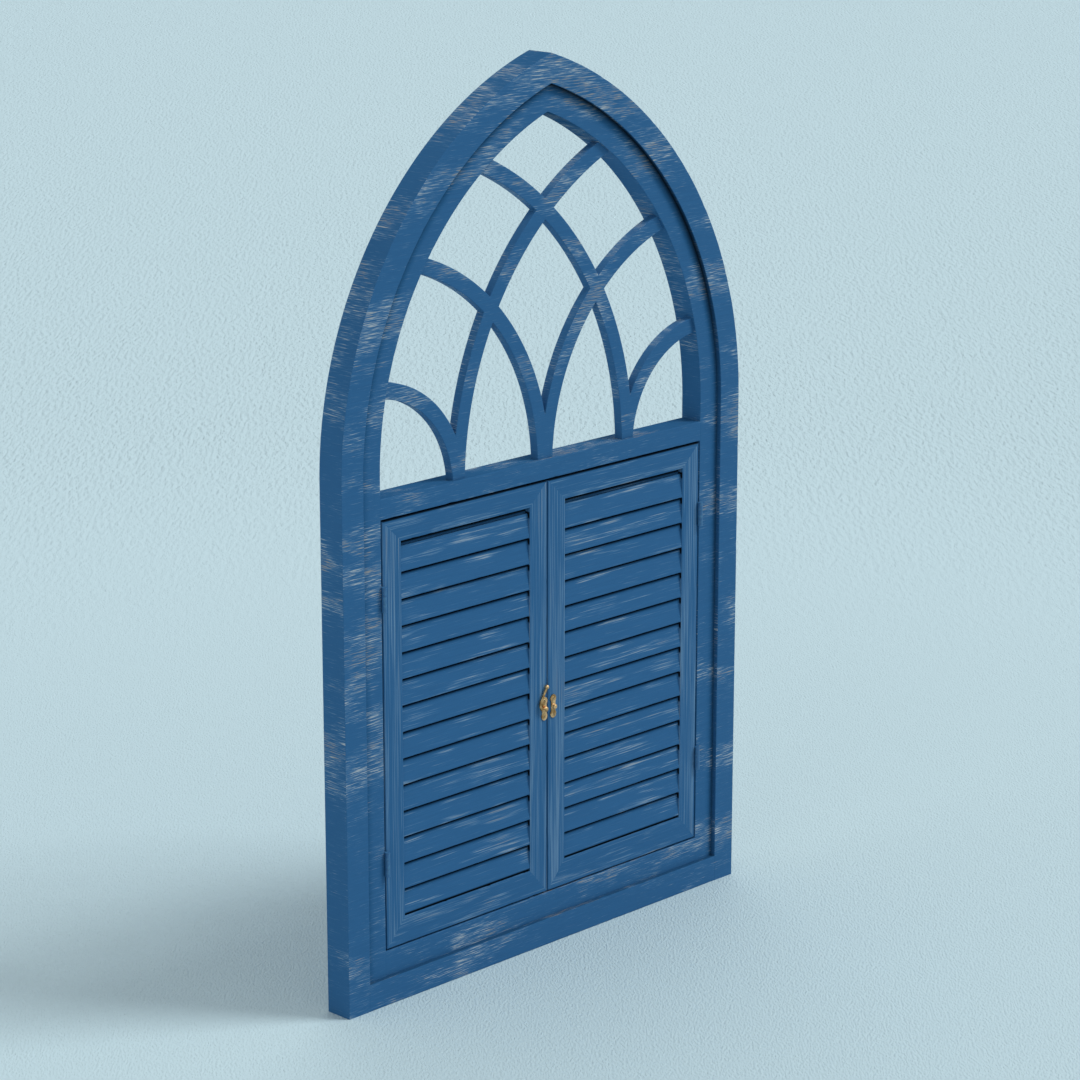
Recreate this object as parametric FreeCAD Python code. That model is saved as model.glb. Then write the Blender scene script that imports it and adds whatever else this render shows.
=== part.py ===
"""Gothic-arch wooden window frame with fret-cut tracery and two louvred shutter leaves.

Millimetres. Origin: middle of the frame's foot, on the surface it stands on. +X runs to the
right as seen from outside, +Y runs from the outside face to the back, +Z is up.
"""
import FreeCAD, Part
import math
import os

os.makedirs("parts", exist_ok=True)

V = FreeCAD.Vector
AXIS_X = V(1, 0, 0)
AXIS_Y = V(0, 1, 0)
AXIS_Z = V(0, 0, 1)
SIDES = (("left", -1), ("right", 1))

# ---- frame -------------------------------------------------------------------------------
frame_width = 600.0          # over the casing
frame_depth = 33.0           # front of the casing to the back
spring_height = 569.0        # foot to the line where the arch starts
arch_radius = 429.0          # outside of the casing; each half is struck past the middle
casing_width = 30.0          # face of the raised outer band
casing_step = 5.5            # band stands this far in front of the inner frame
jamb_width = 28.0            # face of the inner frame
transom_drop = 21.0          # spring line to the top of the transom
transom_height = 22.0
edge_ease = 0.8              # small bevel on the worn front edges

# ---- tracery -----------------------------------------------------------------------------
tracery_setback = 9.0        # behind the casing's front
tracery_thickness = 10.7
tracery_bar = 17.2           # width of each curved bar
tracery_centre_drop = 30.0   # spring line to the line that the arcs are struck from
side_foot_offset = 127.5     # side feet, from the middle
middle_foot_spread = 2.4     # the middle foot's two bars start this far apart from its centre
long_bar_radius = 363.0      # side foot to the far side
middle_bar_radius = 252.0
short_bar_radius = 120.0     # side foot to the near side
tracery_board_height = 72.0  # level boards, glued edge to edge, that it is cut from

# ---- shutter leaves ----------------------------------------------------------------------
leaf_gap = 2.0               # all round each leaf and between the two
leaf_thickness = 18.0
stile_width = 26.0
top_rail_width = 25.0
bottom_rail_width = 30.0

# ---- louvre slats ------------------------------------------------------------------------
slat_pitch = 28.8
slat_gap = 2.1               # between one slat and the next
slat_bottom_gap = 1.5        # under the lowest slat
slat_thickness = 6.0
slat_tilt = 7.0              # degrees from upright, the top leaning back
slat_setback = 0.3           # lower front edge behind the stile's face
slat_ease = 0.7
slat_lap = 6.5               # tongue at the back of each slat, up behind the next one
slat_lap_clearance = 0.3     # tongue to the slat in front of it, and to the top rail
tenon_length = 6.0
tenon_thickness = 3.0
tenon_width = 14.0
tenon_clearance = 0.1

# ---- hinges ------------------------------------------------------------------------------
hinge_height = 27.0
hinge_from_top = 81.5        # leaf's top edge to the middle of the upper hinge
hinge_from_bottom = 95.5
barrel_radius = 2.7
barrel_clearance = 0.1       # barrel to the leaf's face
knuckle_gap = 0.2
pin_radius = 1.2
pin_clearance = 0.05
hinge_plate_thickness = 0.8
hinge_plate_depth = 12.0
hinge_plate_clearance = 0.3  # plate's edge to the other half's knuckles
hinge_screw_spacing = 15.0

# ---- screws ------------------------------------------------------------------------------
screw_radius = 1.1
screw_head_radius = 2.0
screw_length = 10.0
screw_point = 2.0

# ---- latch -------------------------------------------------------------------------------
latch_rise = 211.0           # leaf's bottom edge to the pivot and the post
pivot_offset = 5.5           # pivot to the meeting line, on the left leaf
post_offset = 8.2            # post to the meeting line, on the right leaf
latch_plate_height = 26.4
latch_plate_lobe = 4.4       # radius of each round lobe
latch_plate_waist = 6.6
latch_plate_thickness = 1.2
hook_play = 0.3              # plate to the back of the hook
hook_thickness = 2.6
hook_arm_width = 2.6
hook_root_radius = 3.2       # round the pivot
hook_bow_offset = 6.0        # centre of the bow beside the pivot
hook_reach = 24.6            # pivot to the middle of the ball
hook_drop = 1.8              # ball below the pivot when hooked
hook_ball_radius = 2.5
hook_seat_clearance = 0.25   # arm to the post when hooked
rivet_radius = 1.5
rivet_clearance = 0.05       # round the rivet, in the hook
rivet_head_radius = 2.3
rivet_head_height = 0.9
rivet_head_play = 0.1        # hook to the rivet's head
post_radius = 2.6
post_length = 5.3            # from the leaf's face
post_ease = 1.0              # bevel round its free end

# ---- worked out from the sizes above -----------------------------------------------------
half_width = frame_width / 2
front = -frame_depth / 2
back = frame_depth / 2
face = front + casing_step                       # front of inner frame and leaves
arch_centre = arch_radius - half_width           # each half is struck this far past the middle
inner_casing_radius = arch_radius - casing_width
opening_radius = inner_casing_radius - jamb_width
opening_half = half_width - casing_width - jamb_width
sill_top = casing_width + jamb_width
transom_top = spring_height - transom_drop
transom_bottom = transom_top - transom_height
tracery_centre_height = spring_height - tracery_centre_drop
leaf_bottom = sill_top + leaf_gap
leaf_top = transom_bottom - leaf_gap
leaf_outer = opening_half - leaf_gap             # hinge edge, from the middle
leaf_inner = leaf_gap / 2                        # meeting edge, from the middle
louvre_outer = leaf_outer - stile_width
louvre_inner = leaf_inner + stile_width
louvre_bottom = leaf_bottom + bottom_rail_width
louvre_top = leaf_top - top_rail_width
slat_rise = slat_pitch - slat_gap
slat_count = int((louvre_top - louvre_bottom - slat_bottom_gap + slat_gap) / slat_pitch)
hinge_x = opening_half - leaf_gap / 2
hinge_y = face - barrel_radius - barrel_clearance
hinge_levels = (leaf_bottom + hinge_from_bottom, leaf_top - hinge_from_top)
knuckle_height = (hinge_height - 2 * knuckle_gap) / 3
latch_height = leaf_bottom + latch_rise
latch_side = {-1: pivot_offset, 1: post_offset}
plate_front = face - latch_plate_thickness
hook_back = plate_front - hook_play
hook_front = hook_back - hook_thickness
post_span = pivot_offset + post_offset           # pivot to post
plate_screw_offset = latch_plate_height / 2 - latch_plate_lobe


def save(name, shape):
    """Write one sub-part and report its volume."""
    shape.exportStep("parts/" + name + ".step")
    print(name, len(shape.Solids), "solid(s)", round(shape.Volume), "mm3")


def flat(points):
    """A flat face with straight edges through the points."""
    return Part.Face(Part.makePolygon(list(points) + [points[0]]))


def block(x0, x1, y0, y1, z0, z1):
    """An upright box between two corners, given in any order."""
    low = V(min(x0, x1), min(y0, y1), min(z0, z1))
    return Part.makeBox(abs(x1 - x0), abs(y1 - y0), abs(z1 - z0), low)


def arc(start, middle, end):
    """An arc edge through three points."""
    return Part.Arc(start, middle, end).toShape()


def moulding(inner, outer, y_front, y_back, inner_ease, outer_ease):
    """Section of a timber as (distance, y) points, its front corners eased."""
    points = [(inner, y_back), (inner, y_front + inner_ease)]
    if inner_ease:
        points.append((inner + inner_ease, y_front))
    if outer_ease:
        points.append((outer - outer_ease, y_front))
    points.append((outer, y_front + outer_ease))
    points.append((outer, y_back))
    return points


def upright(section, side, z0, z1):
    """A section carried straight up; its distances are from the middle plane."""
    return flat([V(side * u, y, z0) for u, y in section]).extrude(V(0, 0, z1 - z0))


def level(section, z_base, x0, x1):
    """A section carried along X; its distances are upwards from z_base."""
    return flat([V(x0, y, z_base + u) for u, y in section]).extrude(V(x1 - x0, 0, 0))


def curved(section, side, centre_x, centre_z, sweep):
    """A section carried round an arc from its level end upwards, towards the middle.

    The arc's centre is at centre_x on the other side of the piece, so that the level end
    lies at side * (centre_x + distance).
    """
    start = flat([V(side * (centre_x + u), y, centre_z) for u, y in section])
    return start.revolve(V(side * centre_x, 0, centre_z), AXIS_Y, -side * sweep)


# ---- casing and inner frame --------------------------------------------------------------
casing_section = moulding(0, casing_width, front, back, edge_ease, edge_ease)
jamb_section = moulding(0, jamb_width, face, back, edge_ease, 0)


def shifted(section, distance):
    """The same section, further out."""
    return [(u + distance, y) for u, y in section]


def jamb(section, inner, side, z_bottom):
    """A straight side piece up to the spring line."""
    return upright(shifted(section, inner), side, z_bottom, spring_height)


def arch_half(section, inner_radius, side):
    """Half of the pointed arch, cut square to meet the other half on the middle plane."""
    outer = inner_radius + casing_width + jamb_width
    sweep = math.degrees(math.acos(arch_centre / outer))
    ring = curved(shifted(section, inner_radius), side, -arch_centre, spring_height, sweep)
    own_side = block(0, side * outer, front, back, spring_height, spring_height + outer)
    return ring.common(own_side)


def sill(section, half_length, z_bottom, height):
    """A level piece at the foot, its eased edge upwards."""
    turned = [(height - u, y) for u, y in section]
    return level(turned, z_bottom, -half_length, half_length)


def transom():
    """The bar between the leaves and the tracery, both front edges eased."""
    section = moulding(0, transom_height, face, back, edge_ease, edge_ease)
    return level(section, transom_bottom, -opening_half, opening_half)


# ---- tracery -----------------------------------------------------------------------------
def tracery_opening():
    """The whole opening over the transom, as a prism through the frame."""
    rise = math.sqrt(opening_radius ** 2 - arch_centre ** 2)
    apex = V(0, front, spring_height + rise)
    half_angle = math.acos(arch_centre / opening_radius) / 2
    reach = opening_radius * math.cos(half_angle) - arch_centre
    level_up = spring_height + opening_radius * math.sin(half_angle)
    right_foot = V(opening_half, front, transom_top)
    right_spring = V(opening_half, front, spring_height)
    left_spring = V(-opening_half, front, spring_height)
    left_foot = V(-opening_half, front, transom_top)
    outline = Part.Wire([
        Part.makeLine(left_foot, right_foot),
        Part.makeLine(right_foot, right_spring),
        arc(right_spring, V(reach, front, level_up), apex),
        arc(apex, V(-reach, front, level_up), left_spring),
        Part.makeLine(left_spring, left_foot),
    ])
    return Part.Face(outline).extrude(V(0, frame_depth, 0))


def tracery_bar_from(start, radius, side):
    """One curved bar that rises from x = start and bends towards the given side."""
    y_front = front + tracery_setback
    section = moulding(radius - tracery_bar / 2, radius + tracery_bar / 2,
                       y_front, y_front + tracery_thickness, edge_ease, edge_ease)
    return curved(section, -side, -side * start - radius, tracery_centre_height, 90)


def tracery():
    """Six intersecting bars from three feet, trimmed to the opening.

    They are cut from a panel of level boards glued edge to edge, so the grain runs level
    and each board leaves its own short pieces, which meet face to face at the glue lines.
    """
    bars = []
    for _, side in SIDES:
        bars.append(tracery_bar_from(-side * side_foot_offset, long_bar_radius, side))
        bars.append(tracery_bar_from(side * middle_foot_spread, middle_bar_radius, side))
        bars.append(tracery_bar_from(side * side_foot_offset, short_bar_radius, side))
    panel = bars[0].fuse(bars[1:]).common(tracery_opening()).removeSplitter()
    level_up = transom_top
    pieces = []
    while level_up < panel.BoundBox.ZMax:
        board = block(-opening_half, opening_half, front, back,
                      level_up, level_up + tracery_board_height)
        pieces += panel.common(board).Solids
        level_up += tracery_board_height
    return Part.makeCompound(pieces)


# ---- shutter leaves ----------------------------------------------------------------------
def slat_frame(index):
    """Lower front corner of a slat, and its directions through and up its thickness."""
    tilt = math.radians(slat_tilt)
    corner = V(0, face + slat_setback, louvre_bottom + slat_bottom_gap + index * slat_pitch)
    return corner, V(0, math.cos(tilt), -math.sin(tilt)), V(0, math.sin(tilt), math.cos(tilt))


def tilted_bar(index, x0, x1, depth0, depth1, up0, up1, ease):
    """A bar along X in a slat's own tilted directions, its four long edges eased."""
    corner, through, along = slat_frame(index)
    outline = [(depth0, up0 + ease), (depth0, up1 - ease), (depth0 + ease, up1),
               (depth1 - ease, up1), (depth1, up1 - ease), (depth1, up0 + ease),
               (depth1 - ease, up0), (depth0 + ease, up0)]
    if not ease:
        outline = [(depth0, up0), (depth0, up1), (depth1, up1), (depth1, up0)]
    points = [corner + V(x0, 0, 0) + through * depth + along * up for depth, up in outline]
    return flat(points).extrude(V(x1 - x0, 0, 0))


def slat_tenon(index, x0, x1, clearance):
    """The stub tenon's bar; with a clearance it cuts the mortise."""
    height = slat_rise / math.cos(math.radians(slat_tilt))
    depth0 = (slat_thickness - tenon_thickness) / 2
    up0 = (height - tenon_width) / 2
    return tilted_bar(index, x0, x1, depth0 - clearance, depth0 + tenon_thickness + clearance,
                      up0 - clearance, up0 + tenon_width + clearance, 0)


def slat_tongue(index, x0, x1):
    """The thin tongue that closes the gap over a slat; the top slat's reaches the rail."""
    tilt = math.radians(slat_tilt)
    height = slat_rise / math.cos(tilt)
    depth0 = slat_thickness - slat_pitch * math.sin(tilt) + slat_lap_clearance
    up1 = height + slat_lap
    if index == slat_count - 1:
        corner, _, _ = slat_frame(index)
        room = louvre_top - slat_lap_clearance - corner.z
        up1 = (room + depth0 * math.sin(tilt)) / math.cos(tilt)
    return tilted_bar(index, x0, x1, depth0, slat_thickness, height - 2 * slat_ease, up1, 0)


def slat(index, side):
    """One fixed louvre slat: a blade, its tongue, and a stub tenon at each end."""
    height = slat_rise / math.cos(math.radians(slat_tilt))
    x0, x1 = sorted((side * louvre_inner, side * louvre_outer))
    blade = tilted_bar(index, x0, x1, 0, slat_thickness, 0, height, slat_ease)
    tenons = slat_tenon(index, x0 - tenon_length, x1 + tenon_length, 0)
    return blade.fuse([slat_tongue(index, x0, x1), tenons]).removeSplitter()


def mortises(side):
    """Cutters for every slat's tenons, through both stiles' inner edges."""
    reach = tenon_length + tenon_clearance
    x0, x1 = sorted((side * louvre_inner, side * louvre_outer))
    return [slat_tenon(index, x0 - reach, x1 + reach, tenon_clearance)
            for index in range(slat_count)]


def leaf_outline(side, corners):
    """A prism through the leaf over (distance from the middle, height) corners."""
    points = [V(side * x, face, z) for x, z in corners]
    return flat(points).extrude(V(0, leaf_thickness, 0))


def leaf_stile(side, inner, outer, mitred_inner):
    """An upright of the leaf; its mitres run from the leaf's corners to the louvre opening."""
    section = moulding(inner, outer, face, face + leaf_thickness, edge_ease, edge_ease)
    bar = upright(section, side, leaf_bottom, leaf_top)
    long_edge, short_edge = (outer, inner) if mitred_inner else (inner, outer)
    outline = leaf_outline(side, [(long_edge, leaf_bottom), (long_edge, leaf_top),
                                  (short_edge, louvre_top), (short_edge, louvre_bottom)])
    return bar.common(outline).cut(mortises(side))


def leaf_rail(side, z_low, z_high, wide_at_top):
    """A level piece of the leaf, mitred at both ends."""
    section = moulding(0, z_high - z_low, face, face + leaf_thickness, edge_ease, edge_ease)
    bar = level(section, z_low, side * leaf_inner, side * leaf_outer)
    wide, narrow = (z_high, z_low) if wide_at_top else (z_low, z_high)
    outline = leaf_outline(side, [(leaf_inner, wide), (leaf_outer, wide),
                                  (louvre_outer, narrow), (louvre_inner, narrow)])
    return bar.common(outline)


# ---- screws ------------------------------------------------------------------------------
def turned_z(profile, base, direction):
    """A turned piece: (radius, length) points carried round the direction from base."""
    points = [V(0, 0, profile[0][1])]
    points += [V(radius, 0, length) for radius, length in profile]
    points.append(V(0, 0, profile[-1][1]))
    clean = [p for i, p in enumerate(points) if i == 0 or (p - points[i - 1]).Length > 1e-6]
    body = flat(clean).revolve(V(0, 0, 0), AXIS_Z, 360)
    body.Placement = FreeCAD.Placement(base, FreeCAD.Rotation(AXIS_Z, direction))
    return body


def screw(base, direction, sheet):
    """A countersunk screw, its head flush with the sheet's outer face at base."""
    return turned_z([(screw_head_radius, 0), (screw_radius, sheet),
                     (screw_radius, screw_length - screw_point), (0, screw_length)],
                    base, direction)


def hinge_screw_places(side, plate_x, direction):
    """Base point and direction of each hinge screw on one side."""
    y = face + hinge_plate_depth * 0.6
    return [(V(side * plate_x, y, z + step * hinge_screw_spacing / 2), V(side * direction, 0, 0))
            for z in hinge_levels for step in (-1, 1)]


frame_plate_x = opening_half - hinge_plate_thickness
leaf_plate_x = leaf_outer + hinge_plate_thickness


def frame_screw_places():
    """Screws through the hinges' frame halves, into the jambs."""
    return [place for _, side in SIDES for place in hinge_screw_places(side, frame_plate_x, 1)]


def leaf_hinge_screw_places(side):
    """Screws through the hinges' moving halves, into a leaf's hinge stile."""
    return hinge_screw_places(side, leaf_plate_x, -1)


def latch_screw_places(side):
    """Screws through a latch plate's two lobes."""
    x = side * latch_side[side]
    return [(V(x, plate_front, latch_height + step * plate_screw_offset), AXIS_Y)
            for step in (-1, 1)]


def screws(places, sheet):
    """One screw at each place; the same shapes also cut their holes."""
    return [screw(base, direction, sheet) for base, direction in places]


# ---- hinges ------------------------------------------------------------------------------
def knuckle(side, z_middle, position):
    """One knuckle; position is -1, 0 or 1 up the hinge."""
    z0 = z_middle + position * (knuckle_height + knuckle_gap) - knuckle_height / 2
    base = V(side * hinge_x, hinge_y, z0)
    return Part.makeCylinder(barrel_radius, knuckle_height, base, AXIS_Z)


def knuckle_room(side, z_middle, position):
    """Space that a plate leaves for one of the other half's knuckles."""
    reach = barrel_radius + barrel_clearance + hinge_plate_clearance
    height = knuckle_height + 2 * knuckle_gap
    z0 = z_middle + position * (knuckle_height + knuckle_gap) - height / 2
    return block(side * (hinge_x - reach), side * (hinge_x + reach),
                 hinge_y - reach, hinge_y + reach, z0, z0 + height)


def hinge_half(side, z_middle, plate_x0, plate_x1, own, other):
    """A plate with its own knuckles; it is cut back for the other half's."""
    plate = block(side * plate_x0, side * plate_x1, hinge_y, face + hinge_plate_depth,
                  z_middle - hinge_height / 2, z_middle + hinge_height / 2)
    plate = plate.cut([knuckle_room(side, z_middle, position) for position in other])
    body = plate.fuse([knuckle(side, z_middle, position) for position in own])
    bore = Part.makeCylinder(pin_radius + pin_clearance, hinge_height,
                             V(side * hinge_x, hinge_y, z_middle - hinge_height / 2), AXIS_Z)
    return body.cut(bore).removeSplitter()


def hinge_frame_halves():
    """The four fixed halves, with the outer knuckles."""
    cutters = screws(frame_screw_places(), hinge_plate_thickness)
    return [hinge_half(side, z, frame_plate_x, opening_half, (-1, 1), (0,)).cut(cutters)
            for _, side in SIDES for z in hinge_levels]


def hinge_leaf_halves(side):
    """A leaf's two moving halves, with the middle knuckle."""
    cutters = screws(leaf_hinge_screw_places(side), hinge_plate_thickness)
    return [hinge_half(side, z, leaf_outer, leaf_plate_x, (0,), (-1, 1)).cut(cutters)
            for z in hinge_levels]


def hinge_pins():
    """Four plain pins, as long as the barrels."""
    return [Part.makeCylinder(pin_radius, hinge_height,
                              V(side * hinge_x, hinge_y, z - hinge_height / 2), AXIS_Z)
            for _, side in SIDES for z in hinge_levels]


# ---- latch -------------------------------------------------------------------------------
def disc(x, z, radius, y0, y1):
    """A round plate square to Y."""
    return Part.makeCylinder(radius, abs(y1 - y0), V(x, max(y0, y1), z), V(0, -1, 0))


def latch_plate_blank(side):
    """A plate with a round lobe at each end, on a leaf's face."""
    x = side * latch_side[side]
    waist = block(x - latch_plate_waist / 2, x + latch_plate_waist / 2, face, plate_front,
                  latch_height - plate_screw_offset, latch_height + plate_screw_offset)
    lobes = [disc(x, latch_height + step * plate_screw_offset, latch_plate_lobe, face,
                  plate_front) for step in (-1, 1)]
    holes = screws(latch_screw_places(side), latch_plate_thickness)
    return waist.fuse(lobes).removeSplitter().cut(holes)


def latch_plate():
    """The pivot plate on the left leaf."""
    return latch_plate_blank(-1).cut(disc(-pivot_offset, latch_height, rivet_radius, face,
                                          plate_front))


def latch_rivet():
    """Rivet through the plate and the hook, with a low domed head in front."""
    head_back = hook_front - rivet_head_play
    head_front = head_back - rivet_head_height
    dome_radius = (rivet_head_radius ** 2 + rivet_head_height ** 2) / (2 * rivet_head_height)
    dome = Part.makeSphere(dome_radius, V(-pivot_offset, head_front + dome_radius, latch_height))
    head = disc(-pivot_offset, latch_height, rivet_head_radius, head_back, head_front)
    shank = disc(-pivot_offset, latch_height, rivet_radius, face, head_back)
    return shank.fuse(head.common(dome))


def hook_arm_path():
    """Slope of the straight part, radius of the bow, and where the two meet.

    The straight part runs from the ball and just clears the post; the bow is tangent to it.
    """
    to_post = V(hook_reach - post_span, 0, -hook_drop)
    clear = post_radius + hook_seat_clearance + hook_arm_width / 2
    slope = math.asin(clear / to_post.Length) + math.atan2(hook_drop, hook_reach - post_span)
    bow_radius = (math.sin(slope) * (hook_reach - hook_bow_offset)
                  - math.cos(slope) * hook_drop)
    outward = V(math.sin(slope), 0, math.cos(slope))
    return outward, bow_radius


def hook_arm():
    """The band of the arm: a bow over the root, then straight down to the ball."""
    outward, bow_radius = hook_arm_path()
    half = hook_arm_width / 2
    centre = V(hook_bow_offset, hook_back, 0)
    ball = V(hook_reach, hook_back, -hook_drop)
    top = (outward + V(-1, 0, 0)).normalize()
    outer_start = centre + V(-bow_radius - half, 0, 0)
    inner_start = centre + V(-bow_radius + half, 0, 0)
    outer_end = centre + outward * (bow_radius + half)
    inner_end = centre + outward * (bow_radius - half)
    outline = Part.Wire([
        arc(outer_start, centre + top * (bow_radius + half), outer_end),
        Part.makeLine(outer_end, ball + outward * half),
        Part.makeLine(ball + outward * half, ball - outward * half),
        Part.makeLine(ball - outward * half, inner_end),
        arc(inner_end, centre + top * (bow_radius - half), inner_start),
        Part.makeLine(inner_start, outer_start),
    ])
    return Part.Face(outline).extrude(V(0, -hook_thickness, 0))


def hook_root():
    """The round eye and the solid root that rises into the bow."""
    _, bow_radius = hook_arm_path()
    radius = hook_root_radius
    height = math.sqrt(bow_radius ** 2 - (hook_bow_offset - radius) ** 2)
    block_up = block(-radius, radius, hook_back, hook_front, 0, height)
    inside = disc(hook_bow_offset, 0, bow_radius + hook_arm_width / 2, hook_back, hook_front)
    return block_up.common(inside).fuse(disc(0, 0, radius, hook_back, hook_front))


def hooked_hook():
    """The hook about its pivot at x = 0, z = 0, lying over the post."""
    middle = (hook_back + hook_front) / 2
    ball = Part.makeSphere(hook_ball_radius, V(hook_reach, middle, -hook_drop))
    bore = disc(0, 0, rivet_radius + rivet_clearance, hook_back + 1, hook_front - 1)
    return hook_arm().fuse([hook_root(), ball]).cut(bore).removeSplitter()


def latch_hook():
    """The hook turned up, clear of the other leaf, on the left leaf's pivot."""
    hook = hooked_hook()
    hook.rotate(V(0, 0, 0), AXIS_Y, -90)
    hook.translate(V(-pivot_offset, 0, latch_height))
    return hook


def keeper_plate():
    """The right leaf's plate, cast with the post that the hook drops over."""
    tip = face - post_length
    post = disc(post_offset, latch_height, post_radius, face, tip)
    rim = [edge for edge in post.Edges if edge.BoundBox.YMax < tip + 0.01 and edge.Closed]
    return latch_plate_blank(1).fuse(post.makeChamfer(post_ease, rim))


# ---- write every sub-part ----------------------------------------------------------------
save("casing_sill", sill(casing_section, half_width - casing_width, 0, casing_width))
save("frame_sill", sill(jamb_section, opening_half, casing_width, jamb_width))
save("frame_transom", transom())
save("tracery", tracery())

frame_screw_holes = screws(frame_screw_places(), hinge_plate_thickness)
for name, side in SIDES:
    save("casing_" + name + "_jamb", jamb(casing_section, half_width - casing_width, side, 0))
    save("casing_" + name + "_arch", arch_half(casing_section, inner_casing_radius, side))
    inner_jamb = jamb(jamb_section, opening_half, side, casing_width)
    save("frame_" + name + "_jamb", inner_jamb.cut(frame_screw_holes))
    save("frame_" + name + "_arch", arch_half(jamb_section, opening_radius, side))

    latch_places = latch_screw_places(side)
    hinge_places = leaf_hinge_screw_places(side)
    hinge_stile = leaf_stile(side, louvre_outer, leaf_outer, True)
    meeting_stile = leaf_stile(side, leaf_inner, louvre_inner, False)
    leaf = name + "_leaf_"
    save(leaf + "hinge_stile",
         hinge_stile.cut(screws(hinge_places, hinge_plate_thickness)))
    save(leaf + "meeting_stile",
         meeting_stile.cut(screws(latch_places, latch_plate_thickness)))
    save(leaf + "top_rail", leaf_rail(side, louvre_top, leaf_top, True))
    save(leaf + "bottom_rail", leaf_rail(side, leaf_bottom, louvre_bottom, False))
    for index in range(slat_count):
        save(leaf + "slat_%02d" % (index + 1), slat(index, side))
    save(leaf + "hinge_halves", Part.makeCompound(hinge_leaf_halves(side)))
    save(leaf + "screws", Part.makeCompound(screws(hinge_places, hinge_plate_thickness)
                                            + screws(latch_places, latch_plate_thickness)))

save("hinge_frame_halves", Part.makeCompound(hinge_frame_halves()))
save("hinge_pins", Part.makeCompound(hinge_pins()))
save("hinge_frame_screws", Part.makeCompound(screws(frame_screw_places(),
                                                    hinge_plate_thickness)))
save("latch_plate", latch_plate())
save("latch_rivet", latch_rivet())
save("latch_hook", latch_hook())
save("keeper_plate", keeper_plate())
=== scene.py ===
# %% [markdown]
# # A blue painted window frame with a pointed arch
# The real object is a small wooden window: a flat casing and an inner frame that rise into
# a pointed arch, curved glazing bars above a transom, and two louvred leaves below, shut by
# a little brass hook. It is painted blue and rubbed through to the pale wood. The solids
# come first, as a fixed frame of reference, and each visible piece is then built in its
# place, in metres.

import math

import bpy
import numpy as np
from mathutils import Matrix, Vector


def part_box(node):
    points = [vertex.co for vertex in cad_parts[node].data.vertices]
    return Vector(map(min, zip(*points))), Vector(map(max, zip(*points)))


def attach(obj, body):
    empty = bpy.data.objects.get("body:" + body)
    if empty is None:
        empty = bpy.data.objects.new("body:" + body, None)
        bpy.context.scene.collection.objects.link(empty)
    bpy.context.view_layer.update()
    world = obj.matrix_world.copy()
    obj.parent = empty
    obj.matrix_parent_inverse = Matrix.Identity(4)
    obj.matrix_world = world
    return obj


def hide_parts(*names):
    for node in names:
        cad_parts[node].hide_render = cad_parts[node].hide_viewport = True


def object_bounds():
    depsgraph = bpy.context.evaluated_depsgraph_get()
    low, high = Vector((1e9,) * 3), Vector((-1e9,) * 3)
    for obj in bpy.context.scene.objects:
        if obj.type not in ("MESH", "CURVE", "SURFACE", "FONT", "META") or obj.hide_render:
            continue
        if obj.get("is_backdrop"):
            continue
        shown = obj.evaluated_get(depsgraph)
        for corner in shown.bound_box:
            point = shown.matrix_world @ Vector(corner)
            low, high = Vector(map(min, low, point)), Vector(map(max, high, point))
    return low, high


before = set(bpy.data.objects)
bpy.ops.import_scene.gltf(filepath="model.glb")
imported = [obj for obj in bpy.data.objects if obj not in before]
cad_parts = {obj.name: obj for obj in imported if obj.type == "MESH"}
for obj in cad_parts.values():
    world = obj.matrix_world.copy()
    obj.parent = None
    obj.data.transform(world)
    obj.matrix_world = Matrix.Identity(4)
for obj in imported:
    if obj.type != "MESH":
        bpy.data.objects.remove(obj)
cad_low, cad_high = [list(corner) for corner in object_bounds()]
MM = 0.001
print("solids:", len(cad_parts), "box:", cad_low, cad_high)


# %% [markdown]
# ## Where everything goes
# The places come from the boxes of the solids. The arch is struck from two centres, each a
# little past the middle line: with the half width h and the rise r, the centre lies at
# (r * r / h - h) / 2 beyond the middle, which is worked out here instead of guessed.


# %% Places and sizes
def span(node, axis):
    """Lowest and highest place of a solid along one axis, 0, 1 or 2."""
    low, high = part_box(node)
    return low[axis], high[axis]


half_width = cad_high[0]
front, back = cad_low[1], cad_high[1]
spring = span("casing_left_jamb", 2)[1]
rise = cad_high[2] - spring
arch_centre = (rise * rise / half_width - half_width) / 2
frame_outer, frame_inner = (-value for value in span("frame_left_jamb", 0))
face = span("frame_left_jamb", 1)[0]
sill_low, sill_high = span("frame_sill", 2)
transom_low, transom_high = span("frame_transom", 2)
tracery_front, tracery_back = span("tracery", 1)
leaf_outer, stile_inner = (-value for value in span("left_leaf_hinge_stile", 0))
meeting_outer, leaf_inner = (-value for value in span("left_leaf_meeting_stile", 0))
leaf_low, louvre_low = span("left_leaf_bottom_rail", 2)
louvre_high, leaf_high = span("left_leaf_top_rail", 2)
leaf_front, leaf_back = span("left_leaf_top_rail", 1)
print("arch centre %.4f, opening %.4f, transom %.4f" % (arch_centre, frame_inner, transom_high))


# %% [markdown]
# ## A timber carried along a path
# Every wooden piece is one profile carried along a straight line or an arc. The profile is a
# rectangle with soft corners, as planed and painted timber has. Each point of the profile
# has its own start and end along the path, so mitres and the arch's plumb cut come out of
# one formula, with no cutting.


# %% The profile
WEAR_REACH = 5 * MM      # the wear fades out this far from an arris
CORNER_STEPS = 5         # points round each soft corner
SOFT, SOFT_BACK, LEAF_SOFT = 0.6 * MM, 0.6 * MM, 0.8 * MM


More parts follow.
